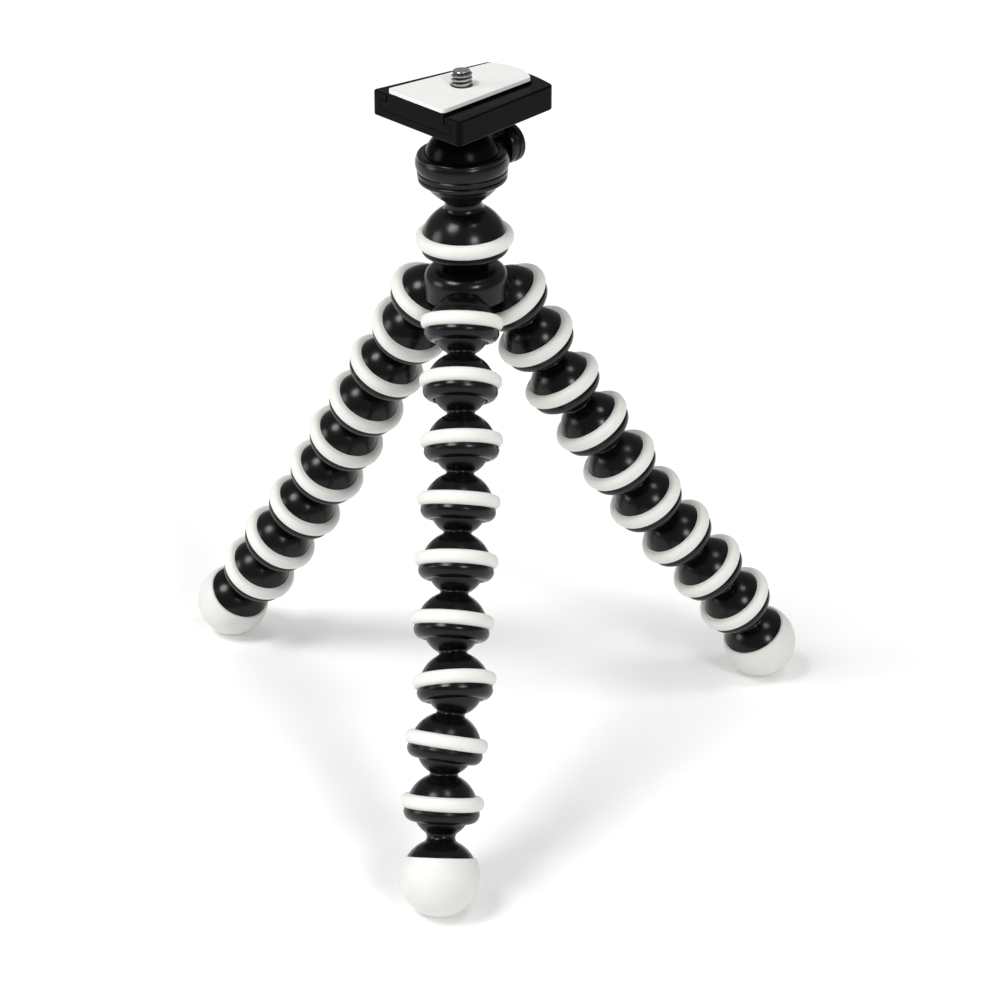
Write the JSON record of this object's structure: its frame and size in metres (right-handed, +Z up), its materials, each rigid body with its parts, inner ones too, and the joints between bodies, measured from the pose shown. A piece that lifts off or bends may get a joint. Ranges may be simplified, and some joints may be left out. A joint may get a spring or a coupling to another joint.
{
  "type": "flexible leg tripod",
  "caption": "Small camera tripod with three bendable legs of ball-and-socket links, round rubber feet, a ball head with a lock knob and a quick-release plate with a camera screw.",
  "frame": {"origin": "on the floor, at the centre of the whole part's plan box; the three feet stand on Z = 0", "axes": "+Z up, the front leg points to -Y, the other two legs to the back right and back left"},
  "size_m": [0.204, 0.1886, 0.2265],
  "materials": {
    "hub": "glossy black",
    "hub_rings": "satin off-white rubber",
    "front_leg_link_1": "glossy black",
    "front_leg_ring_1": "satin off-white rubber",
    "front_leg_link_2": "glossy black",
    "front_leg_ring_2": "satin off-white rubber",
    "front_leg_link_3": "glossy black",
    "front_leg_ring_3": "satin off-white rubber",
    "front_leg_link_4": "glossy black",
    "front_leg_ring_4": "satin off-white rubber",
    "front_leg_link_5": "glossy black",
    "front_leg_ring_5": "satin off-white rubber",
    "front_leg_link_6": "glossy black",
    "front_leg_ring_6": "satin off-white rubber",
    "front_leg_link_7": "glossy black",
    "front_leg_ring_7": "satin off-white rubber",
    "front_leg_link_8": "glossy black",
    "front_leg_ring_8": "satin off-white rubber",
    "front_foot": "off-white rubber boot over a glossy black stud",
    "right_leg_link_1": "glossy black",
    "right_leg_ring_1": "satin off-white rubber",
    "right_leg_link_2": "glossy black",
    "right_leg_ring_2": "satin off-white rubber",
    "right_leg_link_3": "glossy black",
    "right_leg_ring_3": "satin off-white rubber",
    "right_leg_link_4": "glossy black",
    "right_leg_ring_4": "satin off-white rubber",
    "right_leg_link_5": "glossy black",
    "right_leg_ring_5": "satin off-white rubber",
    "right_leg_link_6": "glossy black",
    "right_leg_ring_6": "satin off-white rubber",
    "right_leg_link_7": "glossy black",
    "right_leg_ring_7": "satin off-white rubber",
    "right_leg_link_8": "glossy black",
    "right_leg_ring_8": "satin off-white rubber",
    "right_foot": "off-white rubber boot over a glossy black stud",
    "left_leg_link_1": "glossy black",
    "left_leg_ring_1": "satin off-white rubber",
    "left_leg_link_2": "glossy black",
    "left_leg_ring_2": "satin off-white rubber",
    "left_leg_link_3": "glossy black",
    "left_leg_ring_3": "satin off-white rubber",
    "left_leg_link_4": "glossy black",
    "left_leg_ring_4": "satin off-white rubber",
    "left_leg_link_5": "glossy black",
    "left_leg_ring_5": "satin off-white rubber",
    "left_leg_link_6": "glossy black",
    "left_leg_ring_6": "satin off-white rubber",
    "left_leg_link_7": "glossy black",
    "left_leg_ring_7": "satin off-white rubber",
    "left_leg_link_8": "glossy black",
    "left_leg_ring_8": "satin off-white rubber",
    "left_foot": "off-white rubber boot over a glossy black stud",
    "neck_link": "glossy black",
    "neck_ring": "satin off-white rubber",
    "platform": "glossy black",
    "lock_knob": "glossy black",
    "release_plate": "glossy black",
    "plate_pad": "matt off-white rubber",
    "camera_screw": "bright plated steel"
  },
  "bodies": {
    "hub": {"hub": "hub", "hub_rings": "hub_rings"},
    "front_leg_1": {"front_leg_link_1": "front_leg_link_1", "front_leg_ring_1": "front_leg_ring_1"},
    "front_leg_2": {"front_leg_link_2": "front_leg_link_2", "front_leg_ring_2": "front_leg_ring_2"},
    "front_leg_3": {"front_leg_link_3": "front_leg_link_3", "front_leg_ring_3": "front_leg_ring_3"},
    "front_leg_4": {"front_leg_link_4": "front_leg_link_4", "front_leg_ring_4": "front_leg_ring_4"},
    "front_leg_5": {"front_leg_link_5": "front_leg_link_5", "front_leg_ring_5": "front_leg_ring_5"},
    "front_leg_6": {"front_leg_link_6": "front_leg_link_6", "front_leg_ring_6": "front_leg_ring_6"},
    "front_leg_7": {"front_leg_link_7": "front_leg_link_7", "front_leg_ring_7": "front_leg_ring_7"},
    "front_leg_8": {"front_leg_link_8": "front_leg_link_8", "front_leg_ring_8": "front_leg_ring_8"},
    "front_foot": {"front_foot": "front_foot"},
    "right_leg_1": {"right_leg_link_1": "right_leg_link_1", "right_leg_ring_1": "right_leg_ring_1"},
    "right_leg_2": {"right_leg_link_2": "right_leg_link_2", "right_leg_ring_2": "right_leg_ring_2"},
    "right_leg_3": {"right_leg_link_3": "right_leg_link_3", "right_leg_ring_3": "right_leg_ring_3"},
    "right_leg_4": {"right_leg_link_4": "right_leg_link_4", "right_leg_ring_4": "right_leg_ring_4"},
    "right_leg_5": {"right_leg_link_5": "right_leg_link_5", "right_leg_ring_5": "right_leg_ring_5"},
    "right_leg_6": {"right_leg_link_6": "right_leg_link_6", "right_leg_ring_6": "right_leg_ring_6"},
    "right_leg_7": {"right_leg_link_7": "right_leg_link_7", "right_leg_ring_7": "right_leg_ring_7"},
    "right_leg_8": {"right_leg_link_8": "right_leg_link_8", "right_leg_ring_8": "right_leg_ring_8"},
    "right_foot": {"right_foot": "right_foot"},
    "left_leg_1": {"left_leg_link_1": "left_leg_link_1", "left_leg_ring_1": "left_leg_ring_1"},
    "left_leg_2": {"left_leg_link_2": "left_leg_link_2", "left_leg_ring_2": "left_leg_ring_2"},
    "left_leg_3": {"left_leg_link_3": "left_leg_link_3", "left_leg_ring_3": "left_leg_ring_3"},
    "left_leg_4": {"left_leg_link_4": "left_leg_link_4", "left_leg_ring_4": "left_leg_ring_4"},
    "left_leg_5": {"left_leg_link_5": "left_leg_link_5", "left_leg_ring_5": "left_leg_ring_5"},
    "left_leg_6": {"left_leg_link_6": "left_leg_link_6", "left_leg_ring_6": "left_leg_ring_6"},
    "left_leg_7": {"left_leg_link_7": "left_leg_link_7", "left_leg_ring_7": "left_leg_ring_7"},
    "left_leg_8": {"left_leg_link_8": "left_leg_link_8", "left_leg_ring_8": "left_leg_ring_8"},
    "left_foot": {"left_foot": "left_foot"},
    "neck": {"neck_link": "neck_link", "neck_ring": "neck_ring"},
    "head": {"platform": "platform"},
    "knob": {"lock_knob": "lock_knob"},
    "plate": {"release_plate": "release_plate", "plate_pad": "plate_pad"},
    "camera_screw": {"camera_screw": "camera_screw"}
  },
  "joints": [
    {"name": "front_leg_1_swing", "type": "hinge", "parent": "hub", "child": "front_leg_1", "pos_m": [-0.0029, 0.00745, 0.14981], "axis": [1, 0, 0], "range_deg": [-23, 32]},
    {"name": "front_leg_2_sway", "type": "hinge", "parent": "front_leg_1", "child": "front_leg_2", "pos_m": [-0.00227, -0.00343, 0.13536], "axis": [0, 0.7986, -0.6018], "range_deg": [-25, 29]},
    {"name": "front_leg_3_swing", "type": "hinge", "parent": "front_leg_2", "child": "front_leg_3", "pos_m": [-0.00101, -0.01353, 0.12039], "axis": [-1, 0, 0], "range_deg": [-25, 29]},
    {"name": "front_leg_4_sway", "type": "hinge", "parent": "front_leg_3", "child": "front_leg_4", "pos_m": [-0.00101, -0.02312, 0.10504], "axis": [0, -0.848, 0.5299], "range_deg": [-28, 26]},
    {"name": "front_leg_5_swing", "type": "hinge", "parent": "front_leg_4", "child": "front_leg_5", "pos_m": [-0.00069, -0.0335, 0.09022], "axis": [1, 0, 0], "range_deg": [-27, 27]},
    {"name": "front_leg_6_sway", "type": "hinge", "parent": "front_leg_5", "child": "front_leg_6", "pos_m": [-0.00101, -0.04388, 0.0754], "axis": [0, 0.8191, -0.5736], "range_deg": [-20, 34]},
    {"name": "front_leg_7_swing", "type": "hinge", "parent": "front_leg_6", "child": "front_leg_7", "pos_m": [0.00089, -0.05471, 0.06102], "axis": [-1, 0, 0], "range_deg": [-18, 32]},
    {"name": "front_leg_8_sway", "type": "hinge", "parent": "front_leg_7", "child": "front_leg_8", "pos_m": [-0.00101, -0.06371, 0.04543], "axis": [0, -0.866, 0.5], "range_deg": [-32, 22]},
    {"name": "front_foot_swing", "type": "hinge", "parent": "front_leg_8", "child": "front_foot", "pos_m": [-0.00132, -0.07193, 0.02931], "axis": [1, 0, 0], "range_deg": [-23, 31]},
    {"name": "right_leg_1_swing", "type": "hinge", "parent": "hub", "child": "right_leg_1", "pos_m": [0.01035, 0.0304, 0.15015], "axis": [-0.5, 0.866, 0], "range_deg": [-31, 24]},
    {"name": "right_leg_2_sway", "type": "hinge", "parent": "right_leg_1", "child": "right_leg_2", "pos_m": [0.01796, 0.03516, 0.13444], "axis": [-0.7521, -0.4342, -0.4958], "range_deg": [-34, 20]},
    {"name": "right_leg_3_swing", "type": "hinge", "parent": "right_leg_2", "child": "right_leg_3", "pos_m": [0.02616, 0.03771, 0.1185], "axis": [0.5, -0.866, 0], "range_deg": [-32, 23]},
    {"name": "right_leg_4_sway", "type": "hinge", "parent": "right_leg_3", "child": "right_leg_4", "pos_m": [0.03553, 0.04094, 0.10336], "axis": [0.7286, 0.4206, 0.5406], "range_deg": [-31, 23]},
    {"name": "right_leg_5_swing", "type": "hinge", "parent": "right_leg_4", "child": "right_leg_5", "pos_m": [0.04408, 0.04515, 0.08797], "axis": [-0.5, 0.866, 0], "range_deg": [-26, 28]},
    {"name": "right_leg_6_sway", "type": "hinge", "parent": "right_leg_5", "child": "right_leg_6", "pos_m": [0.05255, 0.05004, 0.07275], "axis": [-0.7286, -0.4206, -0.5406], "range_deg": [-30, 24]},
    {"name": "right_leg_7_swing", "type": "hinge", "parent": "right_leg_6", "child": "right_leg_7", "pos_m": [0.0626, 0.05475, 0.05845], "axis": [0.5, -0.866, 0], "range_deg": [-27, 27]},
    {"name": "right_leg_8_sway", "type": "hinge", "parent": "right_leg_7", "child": "right_leg_8", "pos_m": [0.07295, 0.0589, 0.04419], "axis": [0.685, 0.3955, 0.6118], "range_deg": [-32, 22]},
    {"name": "right_foot_swing", "type": "hinge", "parent": "right_leg_8", "child": "right_foot", "pos_m": [0.0821, 0.06418, 0.0295], "axis": [-0.5, 0.866, 0], "range_deg": [-33, 21]},
    {"name": "left_leg_1_swing", "type": "hinge", "parent": "hub", "child": "left_leg_1", "pos_m": [-0.01614, 0.0304, 0.14946], "axis": [-0.5, -0.866, 0], "range_deg": [-23, 28]},
    {"name": "left_leg_2_sway", "type": "hinge", "parent": "left_leg_1", "child": "left_leg_2", "pos_m": [-0.02288, 0.03828, 0.13462], "axis": [0.7233, -0.4176, -0.5499], "range_deg": [-15, 39]},
    {"name": "left_leg_3_swing", "type": "hinge", "parent": "left_leg_2", "child": "left_leg_3", "pos_m": [-0.03119, 0.04271, 0.11917], "axis": [0.5, 0.866, 0], "range_deg": [-27, 27]},
    {"name": "left_leg_4_sway", "type": "hinge", "parent": "left_leg_3", "child": "left_leg_4", "pos_m": [-0.0387, 0.0485, 0.10375], "axis": [-0.7395, 0.427, 0.5204], "range_deg": [-28, 28]},
    {"name": "left_leg_5_swing", "type": "hinge", "parent": "left_leg_4", "child": "left_leg_5", "pos_m": [-0.04621, 0.0543, 0.08833], "axis": [-0.5, -0.866, 0], "range_deg": [-28, 28]},
    {"name": "left_leg_6_sway", "type": "hinge", "parent": "left_leg_5", "child": "left_leg_6", "pos_m": [-0.05371, 0.06009, 0.07291], "axis": [0.7395, -0.427, -0.5204], "range_deg": [-22, 34]},
    {"name": "left_leg_7_swing", "type": "hinge", "parent": "left_leg_6", "child": "left_leg_7", "pos_m": [-0.06218, 0.06425, 0.05747], "axis": [0.5, 0.866, 0], "range_deg": [-31, 24]},
    {"name": "left_leg_8_sway", "type": "hinge", "parent": "left_leg_7", "child": "left_leg_8", "pos_m": [-0.07156, 0.06893, 0.04272], "axis": [-0.7063, 0.4078, 0.5787], "range_deg": [-22, 32]},
    {"name": "left_foot_swing", "type": "hinge", "parent": "left_leg_8", "child": "left_foot", "pos_m": [-0.07992, 0.07486, 0.0278], "axis": [-0.5, -0.866, 0], "range_deg": [-23, 31]},
    {"name": "neck_pan", "type": "hinge", "parent": "hub", "child": "neck", "pos_m": [-0.0035, 0.02275, 0.1726], "axis": [-0.0262, 0, 0.9997], "continuous": true},
    {"name": "head_tilt", "type": "hinge", "parent": "neck", "child": "head", "pos_m": [-0.00415, 0.02275, 0.19739], "axis": [0.6691, 0.7431, 0], "range_deg": [-40, 40]},
    {"name": "lock_knob_turn", "type": "hinge", "parent": "neck", "child": "knob", "pos_m": [0.00599, 0.03405, 0.19886], "axis": [0.6689, 0.7431, 0.0175], "range_deg": [0, 360]},
    {"name": "plate_slide", "type": "slide", "parent": "head", "child": "plate", "axis": [-0.6691, -0.7431, 0], "range_m": [0, 0.04]},
    {"name": "camera_screw_turn", "type": "hinge", "parent": "plate", "child": "camera_screw", "pos_m": [-0.00415, 0.02275, 0.22189], "axis": [0, 0, 1], "continuous": true}
  ]
}
